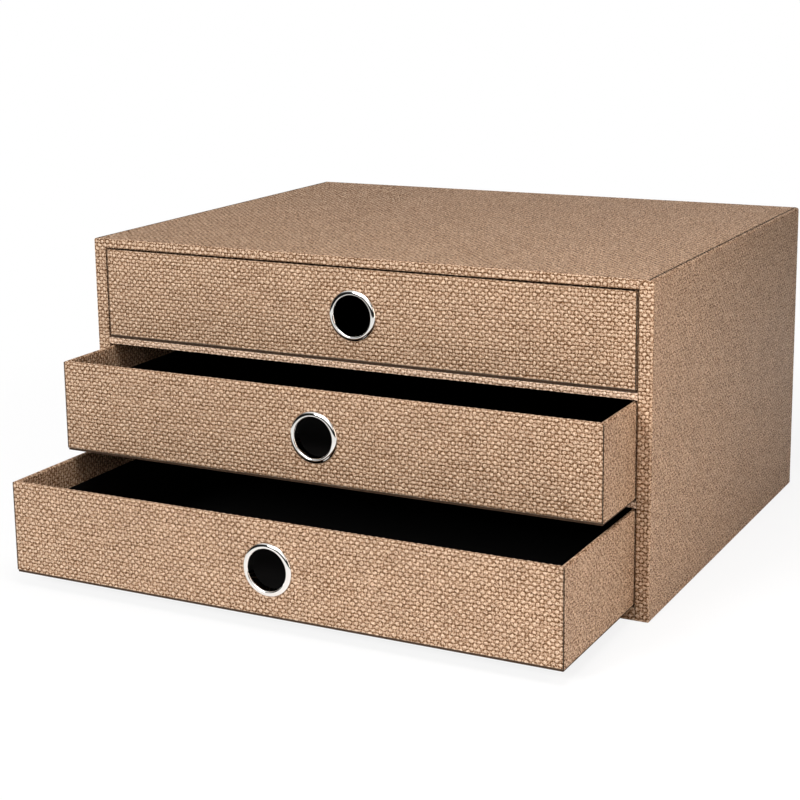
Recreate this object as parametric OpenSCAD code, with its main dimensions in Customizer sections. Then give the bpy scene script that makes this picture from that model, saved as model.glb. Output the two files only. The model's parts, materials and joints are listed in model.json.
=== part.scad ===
// Three-drawer file box made of covered board: an open-fronted case with two
// shelves, and three pull-out trays with a metal ring pull in each front.
// Millimetres. +Z is up and the fronts face -Y. The origin is the middle of the
// case's underside. The middle and lower drawers stand partly open.

/* [Case] */
// Overall width of the case
case_w = 340; // [300:1:420]
// Overall depth of the case
case_d = 270; // [220:1:340]
// Thickness of the case's side walls, paper included
side_wall = 7.85; // [6:0.05:14]
// Thickness of the case's top, paper included
top_wall = 5.5; // [5:0.1:12]
// Thickness of the case's bottom, paper included
bottom_wall = 7.2; // [5:0.1:14]
// Thickness of the case's back, paper and lining included
back_wall = 3.8; // [2:0.1:8]
// Thickness of the outer ply of each side wall
side_ply = 3.6; // [2.5:0.1:4.5]
// Thickness of each shelf, paper included
shelf_t = 3.9; // [2.5:0.1:8]

/* [Case edges] */
// Radius of the long upper edges of the case
edge_r = 2.2; // [1:0.1:3]
// Radius of the long lower edges of the case
foot_r = 1; // [0.7:0.1:2]
// Radius of the case's front and back edges
rim_r = 1; // [0.4:0.1:1.5]
// Radius of the edges round the openings and of the shelf edges
mouth_r = 0.8; // [0.4:0.1:1.5]

/* [Paper] */
// Thickness of the covering paper and of the black lining paper
paper = 0.4; // [0.2:0.05:0.5]
// Depth of the paper turned into each opening
turn_in = 15; // [8:1:40]
// Depth of the paper turned over the walls into each drawer
drawer_turn_in = 16; // [8:1:28]
// Width of the covering paper turned onto the back
back_margin = 4; // [2:0.5:5]

/* [Drawers] */
// Height of each drawer
drawer_h = 51.5; // [35:0.5:90]
// Running gap under each drawer
gap_below = 0.4; // [0.2:0.1:1]
// Running gap over each drawer
gap_above = 0.9; // [0.3:0.1:2]
// Running gap at each side of a drawer
gap_side = 0.65; // [0.3:0.05:2]
// Gap behind a closed drawer
gap_behind = 1.2; // [0.5:0.1:5]
// Thickness of the front's board
front_board_t = 2.6; // [1.5:0.1:4]
// Thickness of the side and back boards
wall_board_t = 2; // [1.2:0.1:3]
// Thickness of the base board
base_t = 1.2; // [0.8:0.1:3]
// How far the base board stays back from the drawer's outside
base_inset = 0.5; // [0:0.1:1.5]
// Radius along the top edges of the drawer's walls
brim_r = 1.2; // [0.7:0.1:1.3]
// Radius of the drawer's upright front edges
corner_r = 0.35; // [0.1:0.05:0.5]
// Width of the seam between the front paper and the side paper
seam_w = 0.3; // [0.1:0.05:0.6]

/* [Drawer positions] */
// How far the upper drawer stands open
upper_pull = 0; // [0:0.1:180]
// How far the middle drawer stands open
middle_pull = 44.3; // [0:0.1:180]
// How far the lower drawer stands open
lower_pull = 93.6; // [0:0.1:180]

/* [Ring pulls] */
// Outer radius of a ring pull
ring_r = 14.2; // [13:0.1:18]
// Radius of the finger hole through a ring pull
finger_r = 11.2; // [6:0.1:12.5]
// How far the rounded flange stands out of the front
ring_proud = 1.3; // [0.6:0.1:1.5]
// Wall of the ring pull's barrel
barrel_t = 0.4; // [0.3:0.05:0.8]
// Play between the barrel and its hole in the front
barrel_play = 0.1; // [0.05:0.01:0.3]
// Radius of the rolled lip that holds the ring pull behind the front
lip_r = 0.7; // [0.5:0.05:1]
// Thickness of the washer under the rolled lip
washer_t = 0.5; // [0.3:0.1:1]
// Outer radius of the washer
washer_r = 14; // [12.5:0.1:16]

/* [Hidden] */
$fn = 64;

// The three levels, from the bottom up
level_names = ["lower", "middle", "upper"];
pulls = [lower_pull, middle_pull, upper_pull];
level_count = len(level_names);

// Heights: each bay holds one drawer and its running gaps
bay_h = gap_below + drawer_h + gap_above;
case_h = bottom_wall + level_count * bay_h + (level_count - 1) * shelf_t + top_wall;
function bay_z(level) = bottom_wall + level * (bay_h + shelf_t);
function shelf_z(level) = bay_z(level) + bay_h;
function drawer_z(level) = bay_z(level) + gap_below;

// Plan of the case
front_y = -case_d / 2;
back_y = case_d / 2;
side_x = case_w / 2;
mouth_x = side_x - side_wall;
ply_x = side_x - paper - side_ply;
board_front_y = front_y + paper;
board_back_y = back_y - paper;
back_inner_y = back_y - back_wall + paper;

// Edge radii, no larger than the paper can take without baring the board
paper_bend = 3 * paper;
rim_bend = min(rim_r, paper_bend);
mouth_bend = min(mouth_r, paper_bend);
foot_bend = min(foot_r, paper_bend);

// Plan of a drawer
drawer_w = 2 * (mouth_x - gap_side);
drawer_d = case_d - back_wall - gap_behind;
drawer_x = drawer_w / 2;
front_t = front_board_t + 2 * paper;
wall_t = wall_board_t + 2 * paper;
// Largest part of a wall's thickness that a rounded top edge may take
brim_share = 0.45;
function brim(thickness) = min(brim_r, brim_share * thickness);
function drawer_front(level) = front_y - pulls[level];
function drawer_back(level) = drawer_front(level) + drawer_d;
function lining_top(level) = drawer_z(level) + drawer_h - drawer_turn_in;

// Ring pulls
barrel_r = finger_r + barrel_t;
hole_r = barrel_r + barrel_play;
flange_chord = ring_r - finger_r;
flange_bow = (pow(flange_chord, 2) / 4 + pow(ring_proud, 2)) / (2 * ring_proud);

// Overshoot of cutting shapes
over = 0.5;

board_colour = [0.55, 0.52, 0.48];
paper_colour = [0.76, 0.62, 0.48];
lining_colour = [0.05, 0.05, 0.05];
ring_colour = [0.82, 0.83, 0.85];

// ---- Shared shapes ----

module block(x, y, z) {
    translate([x[0], y[0], z[0]])
        cube([x[1] - x[0], y[1] - y[0], z[1] - z[0]]);
}

// A flat outline's rectangle, given by its lowest and highest corners
module pane(low, high) {
    translate(low) square(high - low);
}

// Pushes an X-Z outline from y0 to y1
module along_y(y0, y1) {
    translate([0, y1, 0]) rotate([90, 0, 0]) linear_extrude(y1 - y0) children();
}

// Pushes a Y-Z outline from x0 to x1
module along_x(x0, x1) {
    translate([x0, 0, 0]) rotate([90, 0, 90]) linear_extrude(x1 - x0) children();
}

// What rounding takes off a corner: into is the way from the corner into the shape
module corner_waste(corner, into, r) {
    translate(corner)
        mirror([into[0] < 0 ? 1 : 0, 0])
            mirror([0, into[1] < 0 ? 1 : 0])
                difference() {
                    translate([-over, -over]) square(r + over);
                    translate([r, r]) circle(r);
                }
}

// The case seen from the front, drawn in from its outside on every edge
module case_outline(inset) {
    low = [-side_x + inset, inset];
    high = [side_x - inset, case_h - inset];
    difference() {
        pane(low, high);
        corner_waste([low[0], high[1]], [1, -1], edge_r - inset);
        corner_waste(high, [-1, -1], edge_r - inset);
        corner_waste(low, [1, 1], foot_r - inset);
        corner_waste([high[0], low[1]], [-1, 1], foot_r - inset);
    }
}

// What rounding takes off the right wall's upright front and back edges
module upright_rim_waste() {
    translate([0, 0, -over])
        linear_extrude(case_h + 2 * over) {
            corner_waste([side_x, front_y], [-1, 1], rim_bend);
            corner_waste([side_x, back_y], [-1, -1], rim_bend);
            corner_waste([mouth_x, front_y], [1, 1], mouth_bend);
        }
}

// What rounding takes off the case's level front and back edges
module level_rim_waste() {
    along_x(-side_x - over, side_x + over) {
        corner_waste([front_y, case_h], [1, -1], rim_bend);
        corner_waste([back_y, case_h], [-1, -1], rim_bend);
        corner_waste([front_y, 0], [1, 1], foot_bend);
        corner_waste([back_y, 0], [-1, 1], foot_bend);
    }
}

// ---- Case boards ----

module case_top_board() {
    color(board_colour)
        block([-ply_x, ply_x], [board_front_y, board_back_y],
              [case_h - top_wall + paper, case_h - paper]);
}

module case_bottom_board() {
    color(board_colour)
        block([-ply_x, ply_x], [board_front_y, board_back_y],
              [paper, bottom_wall - paper]);
}

module case_back_board() {
    color(board_colour)
        block([-ply_x, ply_x], [back_inner_y, board_back_y],
              [bottom_wall - paper, case_h - top_wall + paper]);
}

// Full-height outer ply, rounded along its upper and lower outside edges
module case_right_board() {
    color(board_colour)
        along_y(board_front_y, board_back_y)
            intersection() {
                case_outline(paper);
                pane([ply_x, 0], [side_x, case_h]);
            }
}

module case_left_board() {
    mirror([1, 0, 0]) case_right_board();
}

// Inner ply between two shelves, which rest on it
module right_liner(level) {
    color(board_colour)
        block([mouth_x + paper, ply_x], [board_front_y, back_inner_y],
              [bay_z(level) - paper, bay_z(level) + bay_h + paper]);
}

module left_liner(level) {
    mirror([1, 0, 0]) right_liner(level);
}

// Shelf over a bay, housed between the liners
module shelf(level) {
    color(board_colour)
        block([-ply_x, ply_x], [board_front_y, back_inner_y],
              [shelf_z(level) + paper, shelf_z(level) + shelf_t - paper]);
}

// ---- Case paper ----

// Top sheet: over the top, down the front edge and turned under, and onto the back
module case_top_cover() {
    color(paper_colour)
        difference() {
            union() {
                along_x(-mouth_x, mouth_x)
                    difference() {
                        pane([front_y, case_h - top_wall], [back_y, case_h]);
                        pane([board_front_y, case_h - top_wall + paper],
                             [board_back_y, case_h - paper]);
                        pane([front_y + turn_in, 0], [board_back_y, case_h - top_wall + paper]);
                        pane([board_back_y - over, 0], [back_y + over, case_h - back_margin]);
                        corner_waste([front_y, case_h - top_wall], [1, 1], mouth_bend);
                    }
                block([-side_x + edge_r, side_x - edge_r], [board_front_y, board_back_y],
                      [case_h - paper, case_h]);
            }
            level_rim_waste();
        }
}

// Bottom sheet: under the bottom, up the front edge and turned in, and onto the back
module case_bottom_cover() {
    color(paper_colour)
        difference() {
            union() {
                along_x(-mouth_x, mouth_x)
                    difference() {
                        pane([front_y, 0], [back_y, bottom_wall]);
                        pane([board_front_y, paper], [board_back_y, bottom_wall - paper]);
                        pane([front_y + turn_in, bottom_wall - paper],
                             [back_y, bottom_wall + over]);
                        pane([board_back_y - over, back_margin], [back_y + over, case_h]);
                        corner_waste([front_y, bottom_wall], [1, -1], mouth_bend);
                    }
                block([-side_x + edge_r, side_x - edge_r], [board_front_y, board_back_y],
                      [0, paper]);
            }
            level_rim_waste();
        }
}

// Side sheet: round the outside with its long edges, over the upright front edge and
// turned into each bay, and onto the back
module case_right_cover() {
    color(paper_colour)
        difference() {
            union() {
                along_y(front_y, back_y)
                    intersection() {
                        difference() {
                            case_outline(0);
                            case_outline(paper);
                        }
                        pane([side_x - edge_r, 0], [side_x, case_h]);
                    }
                along_y(front_y, board_front_y)
                    intersection() {
                        case_outline(0);
                        pane([mouth_x, 0], [side_x, case_h]);
                    }
                along_y(board_back_y, back_y)
                    intersection() {
                        case_outline(0);
                        pane([side_x - back_margin, 0], [side_x, case_h]);
                    }
                along_y(board_back_y, back_y)
                    intersection() {
                        case_outline(0);
                        union() {
                            pane([mouth_x, 0], [side_x, back_margin]);
                            pane([mouth_x, case_h - back_margin], [side_x, case_h]);
                        }
                    }
                for (level = [0 : level_count - 1])
                    block([mouth_x, mouth_x + paper], [front_y, front_y + turn_in],
                          [bay_z(level), bay_z(level) + bay_h]);
            }
            upright_rim_waste();
            level_rim_waste();
        }
}

module case_left_cover() {
    mirror([1, 0, 0]) case_right_cover();
}

// Back sheet, laid inside the margins of the sheets that turn onto the back
module case_back_cover() {
    color(paper_colour)
        block([-side_x + back_margin, side_x - back_margin], [board_back_y, back_y],
              [back_margin, case_h - back_margin]);
}

// Strip folded round a shelf's front edge
module shelf_edging(level) {
    low_z = shelf_z(level);
    high_z = low_z + shelf_t;
    color(paper_colour)
        along_x(-mouth_x, mouth_x)
            difference() {
                pane([front_y, low_z], [front_y + turn_in, high_z]);
                pane([board_front_y, low_z + paper], [front_y + turn_in + over, high_z - paper]);
                corner_waste([front_y, low_z], [1, 1], mouth_bend);
                corner_waste([front_y, high_z], [1, -1], mouth_bend);
            }
}

// Black paper that lines a bay behind the turned-in covering, closed at the back
module bay_lining(level) {
    low_z = bay_z(level);
    high_z = low_z + bay_h;
    color(lining_colour)
        difference() {
            block([-mouth_x - paper, mouth_x + paper],
                  [front_y + turn_in, back_inner_y], [low_z - paper, high_z + paper]);
            block([-mouth_x, mouth_x],
                  [front_y + turn_in - over, back_inner_y - paper], [low_z, high_z]);
        }
}

// ---- Drawer boards ----

module drawer_base_board(level) {
    color(board_colour)
        block([-drawer_x + base_inset, drawer_x - base_inset],
              [drawer_front(level) + base_inset, drawer_back(level) - base_inset],
              [drawer_z(level), drawer_z(level) + base_t]);
}

// A board on edge, rounded along its top, seen end on: u runs across the board
module board_outline(u, level, inset, below = 0) {
    top_z = drawer_z(level) + drawer_h - inset;
    low = [u[0] + inset, drawer_z(level) + base_t - below];
    high = [u[1] - inset, top_z];
    bend = brim(u[1] - u[0]) - inset;
    difference() {
        pane(low, high);
        corner_waste([low[0], top_z], [1, -1], bend);
        corner_waste(high, [-1, -1], bend);
    }
}

// Round hole through the front for the ring pull
module ring_hole(level, r) {
    translate([0, drawer_front(level) - over, drawer_z(level) + drawer_h / 2])
        rotate([-90, 0, 0]) cylinder(h = front_t + 2 * over, r = r);
}

// The boards' shapes. Below is how far a cutting copy runs out under the board.
module front_board_solid(level, below = 0) {
    y0 = drawer_front(level);
    along_x(-drawer_x + paper, drawer_x - paper)
        board_outline([y0, y0 + front_t], level, paper, below);
}

module back_board_solid(level, below = 0) {
    y1 = drawer_back(level);
    along_x(-drawer_x + paper, drawer_x - paper)
        board_outline([y1 - wall_t, y1], level, paper, below);
}

module right_board_solid(level, below = 0) {
    along_y(drawer_front(level) + front_t, drawer_back(level) - wall_t + paper)
        board_outline([drawer_x - wall_t, drawer_x], level, paper, below);
}

module drawer_front_board(level) {
    color(board_colour)
        difference() {
            front_board_solid(level);
            ring_hole(level, hole_r);
        }
}

module drawer_back_board(level) {
    color(board_colour) back_board_solid(level);
}

module drawer_right_board(level) {
    color(board_colour) right_board_solid(level);
}

module drawer_left_board(level) {
    mirror([1, 0, 0]) drawer_right_board(level);
}

// ---- Drawer paper ----

// Front sheet: up the face, over the top edge and a little way down the inside
module drawer_front_cover(level) {
    y0 = drawer_front(level);
    base_z = drawer_z(level) + base_t;
    face_x = drawer_x - paper - seam_w;
    color(paper_colour)
        difference() {
            along_x(-face_x, face_x)
                difference() {
                    board_outline([y0, y0 + front_t], level, 0);
                    board_outline([y0, y0 + front_t], level, paper, over);
                    pane([y0 + front_t / 2, base_z - over], [y0 + front_t + over, lining_top(level)]);
                    corner_waste([y0, base_z], [1, 1], corner_r);
                }
            ring_hole(level, hole_r);
        }
}

// Side sheet: round the outside from one front corner to the other, over the top
// edges and a little way down the inside
module drawer_side_cover(level) {
    y0 = drawer_front(level);
    y1 = drawer_back(level);
    base_z = drawer_z(level) + base_t;
    color(paper_colour)
        difference() {
            union() {
                for (side = [0, 1])
                    mirror([side, 0, 0])
                        along_y(y0, y1)
                            board_outline([drawer_x - wall_t, drawer_x], level, 0);
                along_x(-drawer_x, drawer_x)
                    board_outline([y1 - wall_t, y1], level, 0);
            }
            block([-drawer_x + paper, drawer_x - paper], [y0 - over, y0 + front_t],
                  [base_z - over, case_h]);
            for (side = [0, 1])
                mirror([side, 0, 0]) {
                    along_y(y0, y1 - wall_t + paper)
                        board_outline([drawer_x - wall_t, drawer_x], level, paper, over);
                    // Where a side board meets the back board
                    block([drawer_x - wall_t + paper, drawer_x - paper],
                          [y1 - wall_t, y1 - wall_t / 2],
                          [base_z - over, drawer_z(level) + drawer_h - brim(wall_t)]);
                    linear_extrude(case_h)
                        corner_waste([drawer_x, y0], [-1, 1], corner_r);
                }
            back_board_solid(level, over);
            block([-drawer_x + wall_t / 2, drawer_x - wall_t / 2], [y0, y1 - wall_t / 2],
                  [base_z - over, lining_top(level)]);
        }
}

// Black paper on the floor and up the four walls, under the turned-in covering
module drawer_lining(level) {
    y0 = drawer_front(level) + front_t;
    y1 = drawer_back(level) - wall_t;
    inner_x = drawer_x - wall_t;
    base_z = drawer_z(level) + base_t;
    color(lining_colour)
        difference() {
            block([-inner_x - paper, inner_x + paper], [y0 - paper, y1 + paper],
                  [base_z, lining_top(level)]);
            block([-inner_x, inner_x], [y0, y1], [base_z + paper, lining_top(level) + over]);
            ring_hole(level, hole_r);
        }
}

// ---- Ring pulls ----

// Puts a shape turned about Z at the front's hole, its height running out of the front
module at_ring(level) {
    translate([0, drawer_front(level), drawer_z(level) + drawer_h / 2])
        rotate([90, 0, 0]) children();
}

// Rounded flange, barrel through the front and rolled lip behind the washer
module drawer_ring_pull(level) {
    lip_z = -front_t - washer_t;
    color(ring_colour)
        at_ring(level)
            rotate_extrude() {
                intersection() {
                    translate([(finger_r + ring_r) / 2, ring_proud - flange_bow]) circle(flange_bow);
                    pane([finger_r, 0], [ring_r, ring_proud + over]);
                }
                pane([finger_r, lip_z], [barrel_r, 0]);
                intersection() {
                    translate([finger_r + lip_r, lip_z]) circle(lip_r);
                    pane([0, lip_z - lip_r - over], [ring_r + lip_r, lip_z]);
                }
            }
}

module drawer_ring_washer(level) {
    color(ring_colour)
        at_ring(level)
            rotate_extrude() pane([hole_r, -front_t - washer_t], [washer_r, -front_t]);
}

// ---- The pieces, each under its own name ----

case_top_board();
case_bottom_board();
case_left_board();
case_right_board();
case_back_board();
case_top_cover();
case_bottom_cover();
case_left_cover();
case_right_cover();
case_back_cover();
shelf(0);  // lower_shelf
shelf(1);  // upper_shelf
shelf_edging(0);  // lower_shelf_edging
shelf_edging(1);  // upper_shelf_edging

for (level = [0 : level_count - 1]) {
    name = level_names[level];
    left_liner(level);
    right_liner(level);
    bay_lining(level);
    drawer_front_board(level);
    drawer_back_board(level);
    drawer_left_board(level);
    drawer_right_board(level);
    drawer_base_board(level);
    drawer_lining(level);
    drawer_front_cover(level);
    drawer_side_cover(level);
    drawer_ring_pull(level);
    drawer_ring_washer(level);
}
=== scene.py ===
import bpy
import json
import math
import numpy as np
from mathutils import Matrix, Vector

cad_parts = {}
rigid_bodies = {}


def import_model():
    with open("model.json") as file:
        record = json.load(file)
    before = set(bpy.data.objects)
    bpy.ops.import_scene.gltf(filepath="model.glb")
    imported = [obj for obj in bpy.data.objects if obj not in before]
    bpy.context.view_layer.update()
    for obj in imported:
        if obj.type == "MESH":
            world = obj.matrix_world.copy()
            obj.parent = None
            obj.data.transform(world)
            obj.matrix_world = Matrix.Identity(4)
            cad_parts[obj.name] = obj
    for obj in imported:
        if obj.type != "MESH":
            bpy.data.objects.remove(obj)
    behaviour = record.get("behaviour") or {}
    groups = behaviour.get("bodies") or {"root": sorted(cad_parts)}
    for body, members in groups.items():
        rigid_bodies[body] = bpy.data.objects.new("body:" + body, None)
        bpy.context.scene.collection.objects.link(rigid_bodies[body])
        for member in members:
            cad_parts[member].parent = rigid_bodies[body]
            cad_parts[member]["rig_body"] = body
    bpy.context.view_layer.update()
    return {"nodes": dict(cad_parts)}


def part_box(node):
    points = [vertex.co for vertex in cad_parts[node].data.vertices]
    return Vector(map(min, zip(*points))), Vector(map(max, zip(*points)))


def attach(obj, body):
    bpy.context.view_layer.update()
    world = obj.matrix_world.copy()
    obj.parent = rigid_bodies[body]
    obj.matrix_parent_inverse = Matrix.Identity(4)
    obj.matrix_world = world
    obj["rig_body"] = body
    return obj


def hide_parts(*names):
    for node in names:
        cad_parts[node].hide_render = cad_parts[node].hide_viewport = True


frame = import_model()
nodes = frame["nodes"]
perMetre = 1000.0  # millimetres: looks, sheets and rings are planned in them
print("frame loaded:", len(nodes), "nodes")


def toLinear(hexColour):
    value = hexColour.lstrip("#")
    channels = [int(value[i:i + 2], 16) / 255 for i in (0, 2, 4)]
    linear = [c / 12.92 if c <= 0.04045 else ((c + 0.055) / 1.055) ** 2.4 for c in channels]
    return (*linear, 1.0)


def addNode(tree, kind, inputs=None, **settings):
    node = tree.nodes.new(kind)
    for name, value in settings.items():
        setattr(node, name, value)
    for key, value in (inputs or {}).items():
        if isinstance(value, bpy.types.Node):
            value = value.outputs[0]
        if isinstance(value, bpy.types.NodeSocket):
            tree.links.new(value, node.inputs[key])
        else:
            node.inputs[key].default_value = value
    return node


def emptyMaterial(name):
    material = bpy.data.materials.new(name)
    material.use_nodes = True
    material.node_tree.nodes.clear()
    return material, material.node_tree


def placeInMillimetres(tree):
    place = addNode(tree, "ShaderNodeTexCoord")
    return addNode(tree, "ShaderNodeVectorMath",
                   {0: place.outputs["Object"], "Scale": perMetre}, operation="SCALE")


def addToScene(name, data):
    thing = bpy.data.objects.new(name, data)
    bpy.context.scene.collection.objects.link(thing)
    return thing


# The camera stands in front, right of the middle and a little above the box
cameraSetup = {
    "place": (0.45548, -0.95590, 0.34059),  # metres, in the part's frame
    "yaw": 0.4793, "pitch": 0.2063, "roll": -0.0132,  # radians
    "lens": 80.07, "sensorWidth": 36.0,  # mm
    "shiftY": -0.10,
}


def placeCamera():
    yaw, pitch, roll = (cameraSetup[k] for k in ("yaw", "pitch", "roll"))
    ahead = Vector((-math.sin(yaw) * math.cos(pitch), math.cos(yaw) * math.cos(pitch),
                    -math.sin(pitch)))
    right = Vector((math.cos(yaw), math.sin(yaw), 0))
    up = right.cross(ahead)
    turnedRight = right * math.cos(roll) + up * math.sin(roll)
    turnedUp = up * math.cos(roll) - right * math.sin(roll)
    data = bpy.data.cameras.new("camera")
    data.lens = cameraSetup["lens"]
    data.sensor_width = cameraSetup["sensorWidth"]
    data.shift_y = cameraSetup["shiftY"]
    camera = addToScene("camera", data)
    axes = Matrix((turnedRight, turnedUp, -ahead)).transposed().to_4x4()
    camera.matrix_world = Matrix.Translation(cameraSetup["place"]) @ axes
    bpy.context.scene.camera = camera


placeCamera()

lamps = {
    # name: (place, aimed at, width, height, watts, colour), lengths in metres
    "frontLeft": ((-0.90, -2.90, 1.60), (-0.05, -0.15, 0.10), 0.9, 0.9, 88.0, "#ffffff"),
    "front": ((0.12, -0.85, 0.40), (0.0, -0.20, 0.08), 0.6, 0.4, 1.1, "#ffffff"),
    "overhead": ((0.22, -0.40, 0.90), (0.04, -0.12, 0.12), 0.5, 0.4, 4.6, "#ffffff"),
    "aboveLid": ((0.0, 0.10, 1.00), (0.0, 0.0, 0.15), 0.6, 0.6, 1.45, "#f9f2ff"),
    "rightSide": ((0.46, -0.26, 0.20), (0.17, -0.18, 0.09), 0.25, 0.3, 0.66, "#ffeee0"),
    "leftSide": ((-1.0, 0.0, 0.35), (-0.17, -0.02, 0.09), 0.8, 0.6, 1.7, "#ffffff"),
    "back": ((0.0, 1.2, 0.30), (0.0, 0.13, 0.09), 0.9, 0.5, 6.0, "#ffffff"),
}
# These light the faces that the camera doesn't see, and leave no sheen on the lid
unseenLamps = ("leftSide", "back")


def hangLamps():
    for name, (place, aim, width, height, watts, colour) in lamps.items():
        data = bpy.data.lights.new(name, "AREA")
        data.shape = "RECTANGLE"
        data.size, data.size_y = width, height
        data.energy = watts
        data.color = toLinear(colour)[:3]
        lamp = addToScene(name, data)
        lamp.location = place
        lamp.visible_camera = False
        lamp.visible_glossy = name not in unseenLamps
        lamp.rotation_euler = (Vector(aim) - Vector(place)).to_track_quat("-Z", "Y").to_euler()


hangLamps()

# Levels are shares of white. Glossy surfaces see white from whiteFrom to whiteTo, the
# height of the direction they look in, and a dark room below that
studio = {"wallLight": 0.04, "darkRoom": 0.02, "whiteFrom": 0.40, "whiteTo": 0.75}


def surroundWithStudio():
    world = bpy.data.worlds.new("studio")
    bpy.context.scene.world = world
    world.use_nodes = True
    tree = world.node_tree
    tree.nodes.clear()
    ray = addNode(tree, "ShaderNodeLightPath")
    direction = addNode(tree, "ShaderNodeTexCoord")
    axes = addNode(tree, "ShaderNodeSeparateXYZ", {0: direction.outputs["Generated"]})
    overhead = addNode(tree, "ShaderNodeMapRange",
                       {0: axes.outputs[2], 1: studio["whiteFrom"], 2: studio["whiteTo"],
                        3: 0.0, 4: 1.0}, interpolation_type="SMOOTHSTEP")
    mirrored = addNode(tree, "ShaderNodeMath", {0: ray.outputs["Is Glossy Ray"], 1: overhead},
                       operation="MULTIPLY")
    seen = addNode(tree, "ShaderNodeMath", {0: ray.outputs["Is Camera Ray"], 1: mirrored},
                   operation="MAXIMUM")
    seen = addNode(tree, "ShaderNodeMath", {0: seen, 1: ray.outputs["Is Transmission Ray"]},
                   operation="MAXIMUM")
    fill = addNode(tree, "ShaderNodeMix", {"Factor": ray.outputs["Is Glossy Ray"],
                                           "A": studio["wallLight"],
                                           "B": studio["darkRoom"]},
                   data_type="FLOAT")
    level = addNode(tree, "ShaderNodeMix", {"Factor": seen, "A": fill, "B": 1.0},
                    data_type="FLOAT")
    background = addNode(tree, "ShaderNodeBackground", {"Color": (1, 1, 1, 1),
                                                        "Strength": level})
    addNode(tree, "ShaderNodeOutputWorld", {0: background})


surroundWithStudio()

# White near the box, where its shadow lies, and fading to the backdrop's white further out
floorLook = {
    "reach": 0.9, "drop": 0.0002,  # metres: half its width, and how far below the box it is
    "grey": 0.9,
    "nearShare": 0.85, "nearShareInMetal": 0.0,  # shares of plain white near the box
    "fadeFrom": 0.25, "fadeTo": 0.60,  # metres from the middle
}


def layFloor():
    mesh = bpy.data.meshes.new("floor")
    reach, grey = floorLook["reach"], floorLook["grey"]
    mesh.from_pydata([(-reach, -reach, 0), (reach, -reach, 0), (reach, reach, 0),
                      (-reach, reach, 0)], [], [(0, 1, 2, 3)])
    floor = addToScene("floor", mesh)
    floor.location.z = -floorLook["drop"]
    material, tree = emptyMaterial("white_studio_floor")
    ray = addNode(tree, "ShaderNodeLightPath")
    place = addNode(tree, "ShaderNodeTexCoord")
    away = addNode(tree, "ShaderNodeVectorMath", {0: place.outputs["Object"]},
                   operation="LENGTH")
    near = addNode(tree, "ShaderNodeMix", {"Factor": ray.outputs["Is Glossy Ray"],
                                           "A": floorLook["nearShare"],
                                           "B": floorLook["nearShareInMetal"]},
                   data_type="FLOAT")
    share = addNode(tree, "ShaderNodeMapRange",
                    {0: away.outputs["Value"], 1: floorLook["fadeFrom"],
                     2: floorLook["fadeTo"], 3: near, 4: 1.0},
                    interpolation_type="SMOOTHSTEP")
    lit = addNode(tree, "ShaderNodeBsdfDiffuse", {"Color": (grey, grey, grey, 1)})
    glow = addNode(tree, "ShaderNodeEmission", {"Color": (1, 1, 1, 1), "Strength": 1.0})
    seen = addNode(tree, "ShaderNodeMath", {0: ray.outputs["Is Camera Ray"],
                                            1: ray.outputs["Is Glossy Ray"]},
                   operation="MAXIMUM")
    glowing = addNode(tree, "ShaderNodeMath", {0: seen, 1: share}, operation="MULTIPLY")
    both = addNode(tree, "ShaderNodeMixShader", {0: glowing, 1: lit, 2: glow})
    addNode(tree, "ShaderNodeOutputMaterial", {0: both})
    mesh.materials.append(material)


layFloor()
print("studio ready")

noiseLow, noiseHigh = 0.3, 0.7  # nearly all of a noise texture lies between these

# The covering is a heavy paper embossed as a plain weave: broad bumps where a level thread
# lies on top, and between them narrow, lower ones where an upright thread does
weave = {
    "uprightSpacing": 1.915,  # mm between upright threads
    "levelSpacing": 2.0,      # mm between level threads
    "broadBump": (1.32, 1.16),  # half width and half height of a broad bump, mm
    "narrowBump": (0.92, 0.90),  # the same of a narrow one
    "narrowLevel": 0.62,      # how high a narrow bump reaches beside a broad one
    "wander": 0.7, "wanderSize": 26.0,  # mm by which threads stray, and over what length
    "jitter": 0.42, "jitterSize": 2.8,  # the same from one bump to the next
    "slub": 0.07, "slubLength": 26.0,  # share by which a thread swells, and over what length
    "lumps": 0.38, "lumpSize": 1.8,  # share by which bumps differ, and over what length
    "roundness": 0.52,        # power that shapes a bump: 0.5 a half ball, 1 a flatter cap
}


def strayThreads(tree, flat, where):
    # Threads wander a little along their length, and each bump sits a little off its place
    drift = addNode(tree, "ShaderNodeTexNoise",
                    {"Vector": where, "Scale": 1 / weave["wanderSize"], "Detail": 1.5})
    strayed = addNode(tree, "ShaderNodeVectorMath",
                      {0: drift.outputs[1], 1: (2 * weave["wander"], 2 * weave["wander"], 0),
                       2: flat}, operation="MULTIPLY_ADD")
    shake = addNode(tree, "ShaderNodeTexNoise", {"Vector": strayed, "Detail": 0.0,
                                                 "Scale": 1 / weave["jitterSize"]})
    return addNode(tree, "ShaderNodeVectorMath",
                   {0: shake.outputs[1], 1: (2 * weave["jitter"], 2 * weave["jitter"], 0),
                    2: strayed}, operation="MULTIPLY_ADD")


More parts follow.
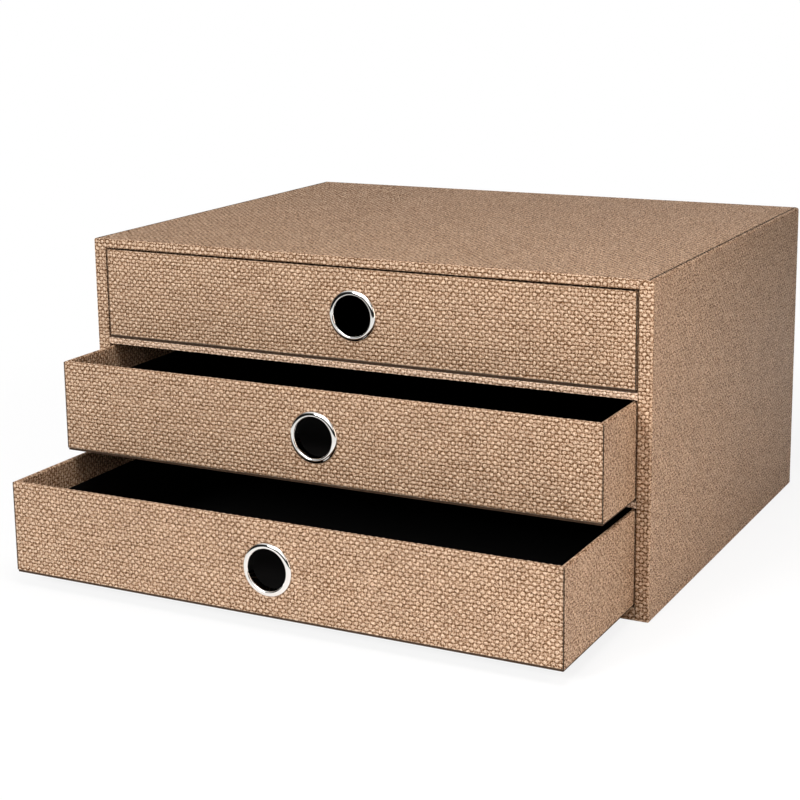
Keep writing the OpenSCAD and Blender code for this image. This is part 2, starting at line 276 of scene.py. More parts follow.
def bumpHeight(tree, corners, halfSize, swell, top):
    # Round caps on two corners of the folded plane
    reach = []
    for x, y in corners:
        spot = addNode(tree, "ShaderNodeCombineXYZ", {0: x, 1: y})
        spot = addNode(tree, "ShaderNodeVectorMath", {0: spot, 1: (*halfSize, 1)},
                       operation="DIVIDE")
        reach.append(addNode(tree, "ShaderNodeVectorMath", {0: spot},
                             operation="LENGTH").outputs["Value"])
    near = addNode(tree, "ShaderNodeMath", {0: reach[0], 1: reach[1]}, operation="MINIMUM")
    near = addNode(tree, "ShaderNodeMath", {0: near, 1: swell}, operation="DIVIDE")
    square = addNode(tree, "ShaderNodeMath", {0: near, 1: near}, operation="MULTIPLY")
    dome = addNode(tree, "ShaderNodeMath", {0: 1.0, 1: square}, operation="SUBTRACT",
                   use_clamp=True)
    dome = addNode(tree, "ShaderNodeMath", {0: dome, 1: weave["roundness"]},
                   operation="POWER")
    return addNode(tree, "ShaderNodeMath", {0: dome, 1: top}, operation="MULTIPLY")


def weaveHeight(tree, across, up, where, uprightSpacing, levelSpacing):
    flat = addNode(tree, "ShaderNodeCombineXYZ", {0: across, 1: up})
    strayed = strayThreads(tree, flat, where)
    thread = addNode(tree, "ShaderNodeSeparateXYZ", {0: strayed})
    # Folding the plane onto one quarter of the repeat leaves a bump at two of its corners
    # for the level threads, and at the other two for the upright ones
    nearX = addNode(tree, "ShaderNodeMath", {0: thread.outputs[0], 1: uprightSpacing},
                    operation="PINGPONG")
    nearY = addNode(tree, "ShaderNodeMath", {0: thread.outputs[1], 1: levelSpacing},
                    operation="PINGPONG")
    farX = addNode(tree, "ShaderNodeMath", {0: uprightSpacing, 1: nearX},
                   operation="SUBTRACT")
    farY = addNode(tree, "ShaderNodeMath", {0: levelSpacing, 1: nearY}, operation="SUBTRACT")
    # One value for each level thread, changing slowly along it
    threadNumber = addNode(tree, "ShaderNodeVectorMath",
                           {0: strayed, 1: (1 / weave["slubLength"], 1 / weave["levelSpacing"],
                                            0)}, operation="MULTIPLY")
    slub = addNode(tree, "ShaderNodeTexNoise", {"Vector": threadNumber, "Scale": 1.0,
                                                "Detail": 1.0})
    swell = addNode(tree, "ShaderNodeMapRange", {0: slub, 1: noiseLow, 2: noiseHigh,
                                                 3: 1 - weave["slub"], 4: 1 + weave["slub"]})
    lump = addNode(tree, "ShaderNodeTexNoise", {"Vector": strayed, "Detail": 1.0,
                                                "Scale": 1 / weave["lumpSize"]})
    level = addNode(tree, "ShaderNodeMapRange", {0: lump, 1: noiseLow, 2: noiseHigh,
                                                 3: 1 - weave["lumps"], 4: 1.0})
    broad = bumpHeight(tree, ((nearX, nearY), (farX, farY)), weave["broadBump"], swell, 1.0)
    narrow = bumpHeight(tree, ((nearX, farY), (farX, nearY)), weave["narrowBump"], swell,
                        weave["narrowLevel"])
    both = addNode(tree, "ShaderNodeMath", {0: broad, 1: narrow}, operation="MAXIMUM")
    return addNode(tree, "ShaderNodeMath", {0: both, 1: level}, operation="MULTIPLY")


# How a flat sheet's material tells its faces apart
faceRule = {
    "steep": 0.707,   # a face looks sideways or up where its normal does by more than this
    "outerX": 100.0,  # mm from the middle, beyond which a sideways face can be an outer one
}


def flatSheet(tree, look):
    # A flat sheet's own two directions, from the way its face looks
    where = placeInMillimetres(tree)
    spot = addNode(tree, "ShaderNodeSeparateXYZ", {0: where})
    facing = addNode(tree, "ShaderNodeNewGeometry")
    bare = addNode(tree, "ShaderNodeVectorMath", {0: facing.outputs["Normal"]},
                   operation="ABSOLUTE")
    lean = addNode(tree, "ShaderNodeSeparateXYZ", {0: bare})
    onSide, onTop = (addNode(tree, "ShaderNodeMath",
                             {0: lean.outputs[axis], 1: faceRule["steep"]},
                             operation="GREATER_THAN") for axis in (0, 2))
    # The level threads run on over the edges: across the front and the top, down the sides
    across = addNode(tree, "ShaderNodeMix", {"Factor": onSide, "A": spot.outputs[0],
                                             "B": spot.outputs[2]}, data_type="FLOAT")
    turned = addNode(tree, "ShaderNodeMath", {0: onSide, 1: onTop}, operation="MAXIMUM")
    up = addNode(tree, "ShaderNodeMix", {"Factor": turned, "A": spot.outputs[2],
                                         "B": spot.outputs[1]}, data_type="FLOAT")
    # The weave reads softer on the outer sides than on the faces to the front
    way = addNode(tree, "ShaderNodeSeparateXYZ", {0: facing.outputs["Normal"]})
    outward = addNode(tree, "ShaderNodeMath", {0: spot.outputs[0], 1: way.outputs[0]},
                      operation="MULTIPLY")
    outside = addNode(tree, "ShaderNodeMath", {0: outward, 1: faceRule["outerX"]},
                      operation="GREATER_THAN")
    calm = addNode(tree, "ShaderNodeMath", {0: outside, 1: look["sideCalm"]},
                   operation="MULTIPLY")
    sheen = addNode(tree, "ShaderNodeMath", {0: outside, 1: look["sideSheen"] - 1, 2: 1.0},
                    operation="MULTIPLY_ADD")
    amount = look["speck"]
    for face, speck in ((outside, look["sideSpeck"]), (onTop, look["topSpeck"])):
        amount = addNode(tree, "ShaderNodeMath", {0: face, 1: speck - look["speck"],
                                                  2: amount}, operation="MULTIPLY_ADD")
    # Specks drawn out from front to back on faces seen at a slant, or they would blur away
    stretch = addNode(tree, "ShaderNodeMix", {"Factor": onTop, "A": look["sideStretch"],
                                              "B": look["topStretch"]}, data_type="FLOAT")
    drawnOut = addNode(tree, "ShaderNodeMath", {0: spot.outputs[1], 1: stretch},
                       operation="DIVIDE")
    specks = addNode(tree, "ShaderNodeCombineXYZ", {0: spot.outputs[0], 1: drawnOut,
                                                    2: spot.outputs[2]})
    return {"across": across, "up": up, "where": where, "calm": calm, "specks": specks,
            "amount": amount, "sheen": sheen}


def foldedSheet(tree, look):
    # A folded sheet carries its own two directions in its mesh
    where = placeInMillimetres(tree)
    own = addNode(tree, "ShaderNodeAttribute", attribute_name="sheet")
    spot = addNode(tree, "ShaderNodeSeparateXYZ", {0: own.outputs["Vector"]})
    return {"across": spot.outputs[0], "up": spot.outputs[1], "where": where,
            "calm": look["foldCalm"], "specks": where, "amount": look["speck"], "sheen": 1.0}


# Painted shade: dark lines in the gaps where one sheet ends on the next, in mm
seams = {
    "lidX": 167.7, "lidHalf": 0.50, "lidAbove": 177.0,
    "cornerX": 161.35, "cornerHalf": 0.32,
    "softness": 0.4,  # share of the half width over which a line fades, in and out
    "dash": 4.0, "dashFrom": 0.35, "dashTo": 0.5,  # the lid's line is broken by this noise
    "dashLeft": 0.7,  # share of the line that stays in its gaps
    "facing": 0.5,    # share of a normal past which a face looks that way
    "shade": 0.97,    # share of the light that a line takes away
}


def hairline(tree, where, offset, halfWidth):
    # 1 on the two lines at this distance from the middle plane, 0 beside them
    spot = addNode(tree, "ShaderNodeSeparateXYZ", {0: where})
    aside = addNode(tree, "ShaderNodeMath", {0: spot.outputs[0]}, operation="ABSOLUTE")
    off = addNode(tree, "ShaderNodeMath", {0: aside, 1: offset}, operation="SUBTRACT")
    off = addNode(tree, "ShaderNodeMath", {0: off}, operation="ABSOLUTE")
    return addNode(tree, "ShaderNodeMapRange", {
        0: off, 1: (1 - seams["softness"]) * halfWidth,
        2: (1 + seams["softness"]) * halfWidth, 3: 1.0, 4: 0.0})


def shadeOf(tree, line, shares):
    # What a line leaves of the light, where all the shares hold
    for share in shares:
        line = addNode(tree, "ShaderNodeMath", {0: line, 1: share}, operation="MULTIPLY")
    return addNode(tree, "ShaderNodeMath", {0: line, 1: -seams["shade"], 2: 1.0},
                   operation="MULTIPLY_ADD")


def normalParts(tree):
    facing = addNode(tree, "ShaderNodeNewGeometry")
    return addNode(tree, "ShaderNodeSeparateXYZ", {0: facing.outputs["Normal"]}).outputs


def lidSeamShade(tree, where):
    # Painted shade along the lid, in the gap where the top sheet meets the side ones, broken
    # where they touch
    line = hairline(tree, where, seams["lidX"], seams["lidHalf"])
    spot = addNode(tree, "ShaderNodeSeparateXYZ", {0: where})
    high = addNode(tree, "ShaderNodeMath", {0: spot.outputs[2], 1: seams["lidAbove"]},
                   operation="GREATER_THAN")
    dashes = addNode(tree, "ShaderNodeTexNoise", {"Vector": where, "Detail": 1.0,
                                                  "Scale": 1 / seams["dash"]})
    broken = addNode(tree, "ShaderNodeMapRange", {0: dashes, 1: seams["dashFrom"],
                                                  2: seams["dashTo"],
                                                  3: seams["dashLeft"], 4: 1.0})
    upward = addNode(tree, "ShaderNodeMath", {0: normalParts(tree)[2], 1: seams["facing"]},
                     operation="GREATER_THAN")
    return shadeOf(tree, line, (high, broken, upward))


def cornerSeamShade(tree, where):
    # Painted shade down each front corner of a drawer, in the gap where the side sheet shows
    # its cut edge
    line = hairline(tree, where, seams["cornerX"], seams["cornerHalf"])
    forward = addNode(tree, "ShaderNodeMath", {0: normalParts(tree)[1],
                                               1: -seams["facing"]}, operation="LESS_THAN")
    return shadeOf(tree, line, (forward,))


def mottle(tree, where, size, amount, detail=2.0):
    # A factor about 1 that strays by the amount, over patches of the size in mm
    noise = addNode(tree, "ShaderNodeTexNoise", {"Vector": where, "Scale": 1 / size,
                                                 "Detail": detail})
    return addNode(tree, "ShaderNodeMapRange", {0: noise, 1: noiseLow, 2: noiseHigh,
                                                3: 1 - amount, 4: 1 + amount})


def paperColour(tree, look, plan, height):
    # Specks of fibre take the colours of higher and lower spots. Their noise is turned,
    # because it fades where a face lies along its grid
    spot = addNode(tree, "ShaderNodeVectorRotate",
                   {"Vector": plan["specks"], "Rotation": look["speckTurn"]},
                   rotation_type="EULER_XYZ")
    speck = addNode(tree, "ShaderNodeTexNoise", {"Vector": spot, "Detail": 3.0,
                                                 "Scale": 1 / look["speckSize"]})
    speck = addNode(tree, "ShaderNodeMapRange", {0: speck, 1: noiseLow, 2: noiseHigh,
                                                 3: -1.0, 4: 1.0})
    tone = addNode(tree, "ShaderNodeMath", {0: speck, 1: plan["amount"], 2: height},
                   operation="MULTIPLY_ADD")
    ramp = addNode(tree, "ShaderNodeValToRGB", {0: tone})
    stops = ramp.color_ramp.elements
    stops[0].position, stops[0].color = look["pitLevel"], toLinear(look["pit"])
    stops[1].position, stops[1].color = 1.0, toLinear(look["crest"])
    stops.new(look["slopeLevel"]).color = toLinear(look["slope"])
    return ramp


def wovenPaper(name, look, sheetPlan, seamShade=None):
    # Gives the eye the box's tan, coarse cloth-like paper: pale bumps in rows like bricks,
    # dark in the creases between them, partly the paper's own tone and partly painted shade
    material, tree = emptyMaterial(name)
    plan = sheetPlan(tree, look)
    where = plan["where"]
    height = weaveHeight(tree, plan["across"], plan["up"], where, weave["uprightSpacing"],
                         weave["levelSpacing"])
    height = addNode(tree, "ShaderNodeMix", {"Factor": plan["calm"], "A": height,
                                             "B": look["calmLevel"]}, data_type="FLOAT")
    colour = paperColour(tree, look, plan, height)
    shade = mottle(tree, where, look["cloudSize"], look["cloud"], detail=3.0)
    # Only the crests shine
    gloss = addNode(tree, "ShaderNodeMapRange", {0: height, 1: look["shineFrom"],
                                                 2: look["shineTo"], 3: look["gloss"][0],
                                                 4: look["gloss"][1]})
    gloss = addNode(tree, "ShaderNodeMath", {0: gloss, 1: plan["sheen"]},
                    operation="MULTIPLY")
    # The seam lines are painted shade: they darken the colour and take away the gloss
    if seamShade:
        line = seamShade(tree, where)
        shade, gloss = (addNode(tree, "ShaderNodeMath", {0: value, 1: line},
                                operation="MULTIPLY") for value in (shade, gloss))
    colour = addNode(tree, "ShaderNodeVectorMath", {0: colour, "Scale": shade},
                     operation="SCALE")
    fibre = addNode(tree, "ShaderNodeTexNoise", {"Vector": where, "Detail": 2.0,
                                                 "Scale": 1 / look["fibreSize"]})
    weaveBump = addNode(tree, "ShaderNodeBump", {"Strength": 1.0, "Height": height,
                                                 "Distance": look["depth"] / perMetre})
    fineBump = addNode(tree, "ShaderNodeBump", {"Strength": 1.0, "Normal": weaveBump,
                                                "Distance": look["fibreDepth"] / perMetre,
                                                "Height": fibre})
    surface = addNode(tree, "ShaderNodeBsdfPrincipled", {
        "Base Color": colour, "Roughness": look["roughness"],
        "Specular IOR Level": gloss, "Normal": fineBump})
    addNode(tree, "ShaderNodeOutputMaterial", {0: surface})
    return material


def plainPaper(name, look):
    # Smooth paper or board: its colour strays a little with the fibres, and they catch light
    material, tree = emptyMaterial(name)
    where = placeInMillimetres(tree)
    shade = mottle(tree, where, look["cloudSize"], look["cloud"])
    fibre = addNode(tree, "ShaderNodeTexNoise", {"Vector": where, "Detail": 3.0,
                                                 "Scale": 1 / look["fibreSize"]})
    colour = addNode(tree, "ShaderNodeVectorMath", {0: toLinear(look["colour"])[:3],
                                                    "Scale": shade}, operation="SCALE")
    bump = addNode(tree, "ShaderNodeBump", {"Strength": 1.0, "Height": fibre,
                                            "Distance": look["fibreDepth"] / perMetre})
    surface = addNode(tree, "ShaderNodeBsdfPrincipled", {
        "Base Color": colour, "Roughness": look["roughness"],
        "Specular IOR Level": look["gloss"], "Normal": bump})
    addNode(tree, "ShaderNodeOutputMaterial", {0: surface})
    return material


def platedMetal(name, look):
    # A plated finish: a plain metal whose gloss strays with faint rubbing marks
    material, tree = emptyMaterial(name)
    where = placeInMillimetres(tree)
    rubbed = addNode(tree, "ShaderNodeTexNoise", {"Vector": where, "Detail": 4.0,
                                                  "Scale": 1 / look["markSize"]})
    roughness = addNode(tree, "ShaderNodeMapRange", {0: rubbed, 1: look["marks"][0],
                                                     2: look["marks"][1],
                                                     3: look["roughness"][0],
                                                     4: look["roughness"][1]})
    shade = mottle(tree, where, look["cloudSize"], look["cloud"])
    colour = addNode(tree, "ShaderNodeVectorMath", {0: toLinear(look["colour"])[:3],
                                                    "Scale": shade}, operation="SCALE")
    surface = addNode(tree, "ShaderNodeBsdfPrincipled", {
        "Base Color": colour, "Roughness": roughness, "Metallic": 1.0})
    addNode(tree, "ShaderNodeOutputMaterial", {0: surface})
    return material


# Sizes and depths in mm, levels and shares from 0 to 1
paperLook = {
    # The pit colour is partly the paper's darker tone in its creases and partly painted crease
    # shade
    "pit": "#56381e", "slope": "#98775c", "crest": "#d4b89d",  # from creases up to crests
    "pitLevel": 0.05, "slopeLevel": 0.36,
    "depth": 0.55,  # the weave's, as bump
    "sideCalm": 0.35, "foldCalm": 0.0, "calmLevel": 0.7,  # how far the weave is levelled
    "cloud": 0.05, "cloudSize": 14.0,
    "speck": 0.55, "sideSpeck": 0.95, "topSpeck": 0.7,
    "speckSize": 0.62, "speckTurn": (0.5, 0.6, 0.4), "sideStretch": 1.5, "topStretch": 3.5,
    "fibreSize": 0.45, "fibreDepth": 0.06,
    "roughness": 0.45, "gloss": (0.05, 0.6), "shineFrom": 0.3, "shineTo": 0.9,
    "sideSheen": 0.35,
}
# The case's sheets: the full weave in front and on the lid, a finer, duller one at the sides,
# and painted shade in the seam along the lid
covering = wovenPaper("embossed_woven_paper", paperLook, flatSheet, lidSeamShade)
# The same paper on the drawers' sides, with painted shade down each front corner, in the gap
# at the side sheet's cut edge
sideCovering = wovenPaper("drawer_side_woven_paper", {**paperLook, "depth": 0.5}, flatSheet,
                          cornerSeamShade)
# The fronts have the weave in their shape, and a shallower bump keeps its edges crisp
pressed = wovenPaper("deep_embossed_woven_paper", {**paperLook, "depth": 0.45}, foldedSheet)
# The narrow edgings get a paler copy of the paper, its weave a little levelled: painted light,
# where the lamps leave them darker under the drawer fronts
edgingPaperPaintedLight = wovenPaper("edging_woven_paper_painted_light", {
    **paperLook, "slope": "#b8967b", "crest": "#e8ceb6", "depth": 0.4, "foldCalm": 0.1,
    "calmLevel": 1.0}, foldedSheet)
# The insides read as plain black in the photograph
black = plainPaper("black_lining_paper", {
    "colour": "#070606", "cloud": 0.2, "cloudSize": 6.0, "fibreSize": 0.5,
    "fibreDepth": 0.03, "roughness": 0.9, "gloss": 0.1})
# The core of the walls, seen only in the creases between sheets and when taken apart
board = plainPaper("grey_board", {
    "colour": "#7d7264", "cloud": 0.15, "cloudSize": 3.0, "fibreSize": 0.6,
    "fibreDepth": 0.05, "roughness": 0.9, "gloss": 0.2})
# The thin base is coloured dark brown: its board tone with painted shade under each drawer
# front
baseBoardPaintedShade = plainPaper("base_board_painted_shade", {
    "colour": "#3d2d21", "cloud": 0.25, "cloudSize": 2.0, "fibreSize": 0.6,
    "fibreDepth": 0.08, "roughness": 0.9, "gloss": 0.2})
# The rings mirror a white ceiling and a dark room, as in the photograph
nickel = platedMetal("polished_nickel", {
    "colour": "#e6e4e0", "cloud": 0.02, "cloudSize": 4.0, "markSize": 1.5,
    "marks": (0.35, 0.7), "roughness": (0.05, 0.10)})
# The washers behind the fronts are duller and greyer
zinc = platedMetal("zinc_plated_steel", {
    "colour": "#c3c5c8", "cloud": 0.08, "cloudSize": 3.0, "markSize": 1.0,
    "marks": (0.35, 0.7), "roughness": (0.28, 0.42)})

# A node takes the first finish whose ending its name has, and plain board if none fits
finishes = (("_drawer_side_cover", sideCovering), ("_cover", covering),
            ("_edging", covering), ("_lining", black), ("_base_board", baseBoardPaintedShade),
            ("_washer", zinc), ("_ring_pull", nickel), ("", board))
for name, node in nodes.items():
    finish = next(material for ending, material in finishes if name.endswith(ending))
    for slot in node.material_slots:
        slot.material = finish
print("materials ready")

# The sheets that show most, the drawer fronts and shelf edgings, carry the weave in their
# shape: a closed sheet of paper is laid along its folds, then its outer side is pressed in
pressedSheets = {
    "paper": 0.4,        # mm, thickness of the paper
    "column": 0.70, "row": 0.45,  # mm, the mesh on the outer side
    "gluedRow": 3.0,     # mm, the mesh on the glued side
    "relief": 0.30,      # mm, from the crests down to the pits
    "brimBend": 1.2,     # mm, radius over a drawer front's top edge
    "footBend": 0.35,    # mm, radius along its lower edge
    "turnIn": 16.0,      # mm turned down inside the drawer
    "shelfBend": 0.8,    # mm, radius of a shelf's front edges
    "hole": 11.7,        # mm, radius of the hole for the ring pull
    # mm beyond that radius: the hole's rim, the faces cut away, and the turned-in end
    "rim": 0.1, "cut": 0.3, "flap": 0.4,
}


def foldPath(corners, bends, step):
    # Points along straight runs joined by rounded folds: place and outward way, both (y, z)
    corners = [np.array(c, float) for c in corners]
    ways = [(b - a) / np.linalg.norm(b - a) for a, b in zip(corners, corners[1:])]
    points = []
    start = corners[0]
    for i, way in enumerate(ways):
        last = i == len(ways) - 1
        turn = 0 if last else bends[i]
        end = corners[i + 1] - way * turn
        count = max(1, round(np.linalg.norm(end - start) / step))
        outward = np.array([-way[1], way[0]])
        for k in range(count + 1):
            points.append((start + (end - start) * k / count, outward))
        if not last:
            onward = ways[i + 1]
            inside = end + onward * turn
            pieces = max(2, round(turn * math.pi / 2 / step))
            for k in range(1, pieces):
                angle = math.pi / 2 * k / pieces
                leaning = outward * math.cos(angle) + way * math.sin(angle)
                points.append((inside + leaning * turn, leaning))
            start = corners[i + 1] + onward * turn
    places = np.array([p for p, _ in points])
    outwards = np.array([o for _, o in points])
    # Where a fold starts right at the end of another, the point they share is kept once
    keep = np.r_[True, np.linalg.norm(np.diff(places, axis=0), axis=1) > 1e-6]
    return places[keep], outwards[keep]


def frontSection(low, high):
    # A drawer front's sheet, seen end on: from its lower edge up the face, over the top
    # and down inside, for its outer side and for its glued side
    p, brim = pressedSheets["paper"], pressedSheets["brimBend"]
    (y0, z0), (y1, z1) = low[1:], high[1:]
    inside = z1 - pressedSheets["turnIn"]
    outer = foldPath([(y0 + p, z0), (y0, z0), (y0, z1), (y1, z1), (y1, inside)],
                     [pressedSheets["footBend"], brim, brim], pressedSheets["row"])
    glued = foldPath([(y0 + p, z0), (y0 + p, z1 - p), (y1 - p, z1 - p), (y1 - p, inside)],
                     [brim - p, brim - p], pressedSheets["gluedRow"])
    return outer, glued


def shelfSection(low, high):
    # A shelf's edging: forward under the shelf, up its edge and back over it
    p, bend = pressedSheets["paper"], pressedSheets["shelfBend"]
    (y0, z0), (y1, z1) = low[1:], high[1:]
    outer = foldPath([(y1, z0), (y0, z0), (y0, z1), (y1, z1)], [bend, bend],
                     pressedSheets["row"])
    glued = foldPath([(y1, z0 + p), (y0 + p, z0 + p), (y0 + p, z1 - p), (y1, z1 - p)],
                     [bend - p, bend - p], pressedSheets["gluedRow"])
    return outer, glued


def stitchRims(front, back):
    # Triangles that close the sheet's thickness round the hole. Each rim is its points in
    # the order of their angles, and those angles
    (front, frontAngle), (back, backAngle) = front, back
    faces = []
    i = j = 0
    while i < len(front) or j < len(back):
        a, b = front[i % len(front)], back[j % len(back)]
        nextFront = frontAngle[i + 1] if i + 1 < len(front) else frontAngle[0] + 2 * math.pi
        nextBack = backAngle[j + 1] if j + 1 < len(back) else backAngle[0] + 2 * math.pi
        if j >= len(back) or (i < len(front) and nextFront <= nextBack):
            faces.append((a, front[(i + 1) % len(front)], b))
            i += 1
        else:
            faces.append((a, back[(j + 1) % len(back)], b))
            j += 1
    return faces


def sheetMesh(name, section, low, high, holeCentre=None):
    # The section runs round the outer side and back along the glued one, and is drawn out
    # along X. Lengths are in mm until the mesh is made.
    (outer, outward), (glued, _) = section(low, high)
    glued = glued[::-1]
    if np.allclose(glued[-1], outer[0]):
        glued = glued[:-1]
    ring = np.vstack([outer, glued])
    outerCount, ringCount = len(outer), len(ring)
    steps = np.r_[0, np.linalg.norm(np.diff(outer, axis=0), axis=1)]
    length = np.cumsum(steps)
    face = int(np.argmax(outward[:, 0] < -0.99))  # the first point that looks forward
    up = np.r_[length - length[face] + outer[face, 1], glued[:, 1]]
    columns = round((high[0] - low[0]) / pressedSheets["column"]) + 1
    xs = np.linspace(low[0], high[0], columns)
    x = np.repeat(xs, ringCount)
    y, z = (np.tile(ring[:, k], columns) for k in (0, 1))
    sheet = np.stack([x, np.tile(up, columns), 0 * x], 1)
    leaning = np.zeros((ringCount, 3))
    leaning[:outerCount, 1:] = outward
    leaning = np.tile(leaning, (columns, 1))
    row = np.arange(ringCount)
    starts = np.arange(columns - 1)[:, None] * ringCount
    below, after = starts + row, starts + (row + 1) % ringCount
    quads = np.stack([below, below + ringCount, after + ringCount, after], 2).reshape(-1, 4)
    smooth = np.tile((row < outerCount - 1), columns - 1)
    faces = [tuple(range(ringCount)),
             tuple(range((columns - 1) * ringCount, columns * ringCount))[::-1]]
    if holeCentre is not None:
        halfway = (low[1] + high[1]) / 2
        radius = pressedSheets["hole"]
        dx, dz = x - holeCentre[0], z - holeCentre[1]
        # The turned-in end keeps clear of the hole, and the face has it cut out
        flapTop = high[2] - pressedSheets["brimBend"]
        flapEnd = high[2] - pressedSheets["turnIn"]
        clear = (radius + pressedSheets["flap"]) ** 2 - dx ** 2
        bottom = np.maximum(holeCentre[1] + np.sqrt(np.maximum(clear, 0)), flapEnd)
        flap = (y > halfway) & (z < flapTop)
        share = (flapTop - z) / (flapTop - flapEnd)
        z = np.where(flap, flapTop - share * (flapTop - bottom), z)
        onFace = y < halfway
        cut = (dx ** 2 + dz ** 2 < (radius + pressedSheets["cut"]) ** 2) & onFace
        gone = cut[quads].any(1)
        onOuter = np.arange(len(x)) % ringCount < outerCount
        edge = np.zeros(len(x), bool)
        edge[quads[gone].ravel()] = True
        edge &= ~cut & onFace
        rims = []
        for side in (onOuter, ~onOuter):
            rim = np.flatnonzero(edge & side)
            angle = np.arctan2(dz[rim], dx[rim])
            rim, angle = rim[np.argsort(angle)], np.sort(angle)
            x[rim] = holeCentre[0] + (radius + pressedSheets["rim"]) * np.cos(angle)
            z[rim] = holeCentre[1] + (radius + pressedSheets["rim"]) * np.sin(angle)
            sheet[rim, 0], sheet[rim, 1] = x[rim], z[rim]
            rims.append((rim, angle))
        faces += stitchRims(*rims)
        quads, smooth = quads[~gone], smooth[~gone]
    flatCount = len(faces)
    faces += quads.tolist()
    used = np.zeros(len(x), bool)
    for corners in faces:
        used[list(corners)] = True
    order = np.cumsum(used) - 1
    faces = [[int(order[v]) for v in corners] for corners in faces]
    mesh = bpy.data.meshes.new(name)
    mesh.from_pydata((np.stack([x, y, z], 1)[used] / perMetre).tolist(), [], faces)
    mesh.polygons.foreach_set("use_smooth", np.r_[np.zeros(flatCount, bool), smooth])
    for label, values in (("sheet", sheet), ("outward", leaning)):
        own = mesh.attributes.new(label, "FLOAT_VECTOR", "POINT")
        own.data.foreach_set("vector", values[used].ravel())
    return mesh


def pressTree():
    # Sinks a sheet's outer side everywhere but on the crests of the weave
    tree = bpy.data.node_groups.new("press_the_weave", "GeometryNodeTree")
    plan = tree.interface
    plan.new_socket("Sheet", in_out="OUTPUT", socket_type="NodeSocketGeometry")
    plan.new_socket("Sheet", in_out="INPUT", socket_type="NodeSocketGeometry")
    for name in ("Upright thread spacing", "Level thread spacing", "Relief"):
        plan.new_socket(name, in_out="INPUT", socket_type="NodeSocketFloat")
    plan.new_socket("Paper", in_out="INPUT", socket_type="NodeSocketMaterial")
    given = addNode(tree, "NodeGroupInput")
    sheet, outward = (addNode(tree, "GeometryNodeInputNamedAttribute", {"Name": label},
                              data_type="FLOAT_VECTOR") for label in ("sheet", "outward"))
    place = addNode(tree, "GeometryNodeInputPosition")
    where = addNode(tree, "ShaderNodeVectorMath", {0: place, "Scale": perMetre},
                    operation="SCALE")
    spot = addNode(tree, "ShaderNodeSeparateXYZ", {0: sheet})
    height = weaveHeight(tree, spot.outputs[0], spot.outputs[1], where,
                         given.outputs["Upright thread spacing"],
                         given.outputs["Level thread spacing"])
    sunk = addNode(tree, "ShaderNodeMath", {0: height, 1: 1.0}, operation="SUBTRACT")
    depth = addNode(tree, "ShaderNodeMath", {0: sunk, 1: given.outputs["Relief"]},
                    operation="MULTIPLY")
    metres = addNode(tree, "ShaderNodeMath", {0: depth, 1: 1 / perMetre},
                     operation="MULTIPLY")
    offset = addNode(tree, "ShaderNodeVectorMath", {0: outward, "Scale": metres},
                     operation="SCALE")
    moved = addNode(tree, "GeometryNodeSetPosition", {"Geometry": given.outputs["Sheet"],
                                                      "Offset": offset})
    real = addNode(tree, "GeometryNodeRealizeInstances", {0: moved})
    papered = addNode(tree, "GeometryNodeSetMaterial",
                      {"Geometry": real, "Material": given.outputs["Paper"]})
    addNode(tree, "NodeGroupOutput", {0: papered})
    return tree


pressing = pressTree()


def boxInMillimetres(node):
    return [np.array(corner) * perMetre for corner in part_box(node)]


def fitPiece(piece, node):
    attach(piece, nodes[node]["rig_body"])
    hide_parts(node)


def pressSheet(name, node, section, paper, ring=None):
    low, high = boxInMillimetres(node)
    holeCentre = sum(boxInMillimetres(ring))[[0, 2]] / 2 if ring else None
    piece = addToScene(name, sheetMesh(name, section, low, high, holeCentre))
    modifier = piece.modifiers.new("press the weave", "NODES")
    modifier.node_group = pressing
    sockets = {item.name: item.identifier for item in pressing.interface.items_tree
               if item.in_out == "INPUT"}
    modifier[sockets["Upright thread spacing"]] = weave["uprightSpacing"]
    modifier[sockets["Level thread spacing"]] = weave["levelSpacing"]
    modifier[sockets["Relief"]] = pressedSheets["relief"]
    modifier[sockets["Paper"]] = paper
    depsgraph = bpy.context.evaluated_depsgraph_get()
    shaped = bpy.data.meshes.new_from_object(piece.evaluated_get(depsgraph))
    piece.modifiers.clear()
    piece.data = shaped
    fitPiece(piece, node)
    print(name, "pressed:", len(shaped.polygons), "faces")


# The ring pulls are turned from one outline: a bowed flange, a barrel through the front and
# a lip rolled over the washer, out of reach of the facets of the plain solids
ringForm = {
    "barrel": 0.4,      # mm, thickness of the barrel
    "play": 0.1,        # mm between the barrel and its hole
    "proud": 1.3,       # mm, how far the flange stands out
    "crest": 12.0,      # mm, radius of the flange's highest line
    "innerDrop": 0.9,   # mm, over which it rounds into the finger hole
    "lip": 0.7,         # mm, radius of the rolled lip
    "flangePoints": 24, "innerPoints": 12, "lipPoints": 12, "turns": 160,
}


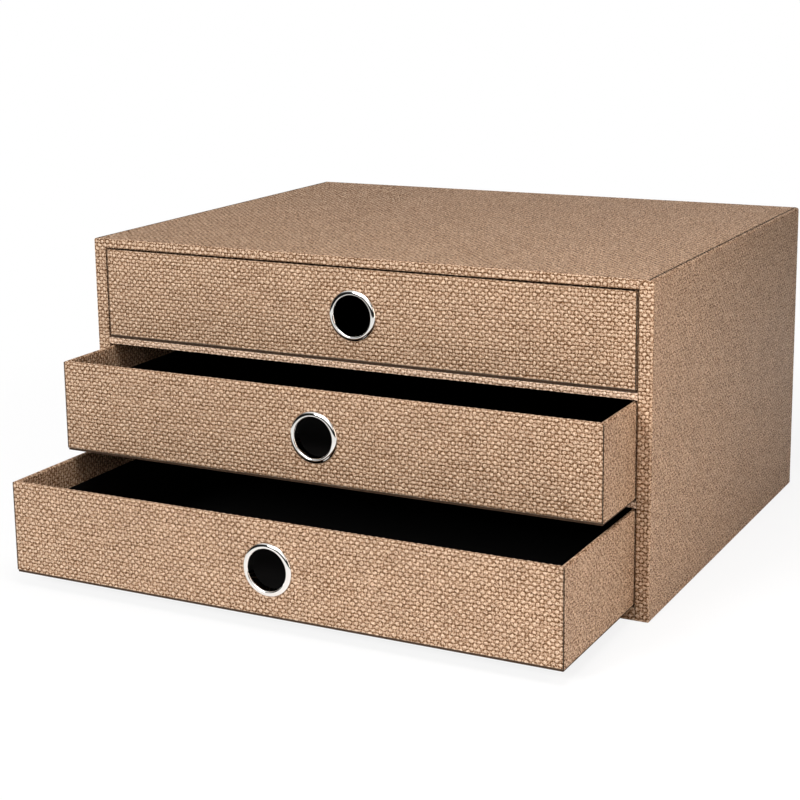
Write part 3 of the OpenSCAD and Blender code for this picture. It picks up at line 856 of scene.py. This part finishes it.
def ringOutline(finger, flange, lipStart):
    # From the flange's outer edge up to its crest, over into the finger hole, back through
    # the barrel, round the lip and out again: radius, and height out of the front, in mm
    proud, crest, lip = (ringForm[k] for k in ("proud", "crest", "lip"))
    outer = np.linspace(math.pi / 2, 0, ringForm["flangePoints"])
    points = [(crest + (flange - crest) * math.sin(a), proud * math.cos(a)) for a in outer]
    inner = np.linspace(0, math.pi / 2, ringForm["innerPoints"])[1:]
    points += [(crest - (crest - finger) * math.sin(a),
                proud - ringForm["innerDrop"] * (1 - math.cos(a))) for a in inner]
    under = np.linspace(math.pi, 2 * math.pi, ringForm["lipPoints"])
    points += [(finger + lip + lip * math.cos(a), lipStart + lip * math.sin(a))
               for a in under]
    points += [(finger + ringForm["barrel"], lipStart), (finger + ringForm["barrel"], 0.0)]
    return points


def turnRing(name, node):
    low, high = boxInMillimetres(node)
    centre = (low + high) / 2
    flange = (high[0] - low[0]) / 2
    front = low[1] + ringForm["proud"]
    lipStart = front - (high[1] - ringForm["lip"])
    finger = pressedSheets["hole"] - ringForm["barrel"] - ringForm["play"]
    outline = ringOutline(finger, flange, lipStart)
    count, turns = len(outline), ringForm["turns"]
    verts, faces = [], []
    for i in range(turns):
        angle = 2 * math.pi * i / turns
        for radius, height in outline:
            verts.append(((centre[0] + radius * math.cos(angle)) / perMetre,
                          (front - height) / perMetre,
                          (centre[2] + radius * math.sin(angle)) / perMetre))
        start, onward = i * count, (i + 1) % turns * count
        for k in range(count):
            n = (k + 1) % count
            faces.append((start + k, start + n, onward + n, onward + k))
    mesh = bpy.data.meshes.new(name)
    mesh.from_pydata(verts, [], faces)
    # Everything is round but the lip's end, the barrel's outer side and the flange's back
    roundFaces = count - 3
    mesh.polygons.foreach_set("use_smooth", [k < roundFaces for _ in range(turns)
                                             for k in range(count)])
    mesh.materials.append(nickel)
    fitPiece(addToScene(name, mesh), node)
    print(name, "turned:", len(faces), "faces")


for level in ("upper", "middle", "lower"):
    drawer = level + "_drawer"
    turnRing(drawer + "_polished_ring", drawer + "_ring_pull")
    pressSheet(drawer + "_pressed_front", drawer + "_front_cover", frontSection,
               pressed, drawer + "_ring_pull")
for level in ("upper", "lower"):
    pressSheet(level + "_shelf_pressed_edging", level + "_shelf_edging", shelfSection,
               edgingPaperPaintedLight)

bpy.context.scene.view_settings.view_transform = "Standard"
